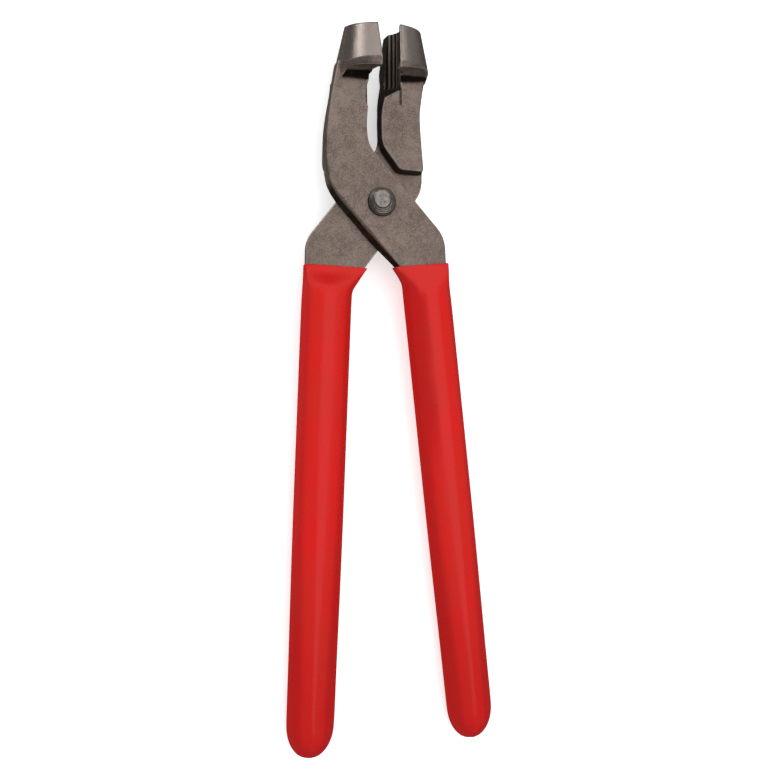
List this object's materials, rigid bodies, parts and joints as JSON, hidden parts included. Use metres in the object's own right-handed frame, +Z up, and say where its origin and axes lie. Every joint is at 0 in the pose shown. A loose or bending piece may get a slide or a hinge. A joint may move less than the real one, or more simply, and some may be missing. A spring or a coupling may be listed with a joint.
{
  "type": "faucet pliers",
  "caption": "Faucet pliers: crossed flat forged arms on a rivet, half-cone jaws with a ribbed groove in each face and long straight handles dipped in a soft glossy coating.",
  "frame": {"origin": "under the middle of the whole tool as it lies on its back, at the level of the lowest rims", "axes": "+Y along the tool from the handles to the jaws, +Z up out of the side with the hammered rivet head, which is the side in the picture, +X to the right in the picture"},
  "size_m": [0.0894, 0.3014, 0.033],
  "materials": {
    "forged_steel": "drop-forged steel, blasted to a fine warm grey grain, worn brighter on the edges",
    "rivet_steel": "hammered steel, brighter on the flat top",
    "red_coating": "thick dipped soft vinyl, glossy red"
  },
  "bodies": {
    "front": {"front_arm": "forged_steel", "rivet": "rivet_steel", "front_grip": "red_coating"},
    "back": {"back_arm": "forged_steel", "back_grip": "red_coating"}
  },
  "joints": [
    {"name": "pivot", "type": "hinge", "parent": "front", "child": "back", "pos_m": [0.00063, 0.07669, 0.01621], "axis": [0, 0, 1], "range_deg": [-43, 7]}
  ]
}
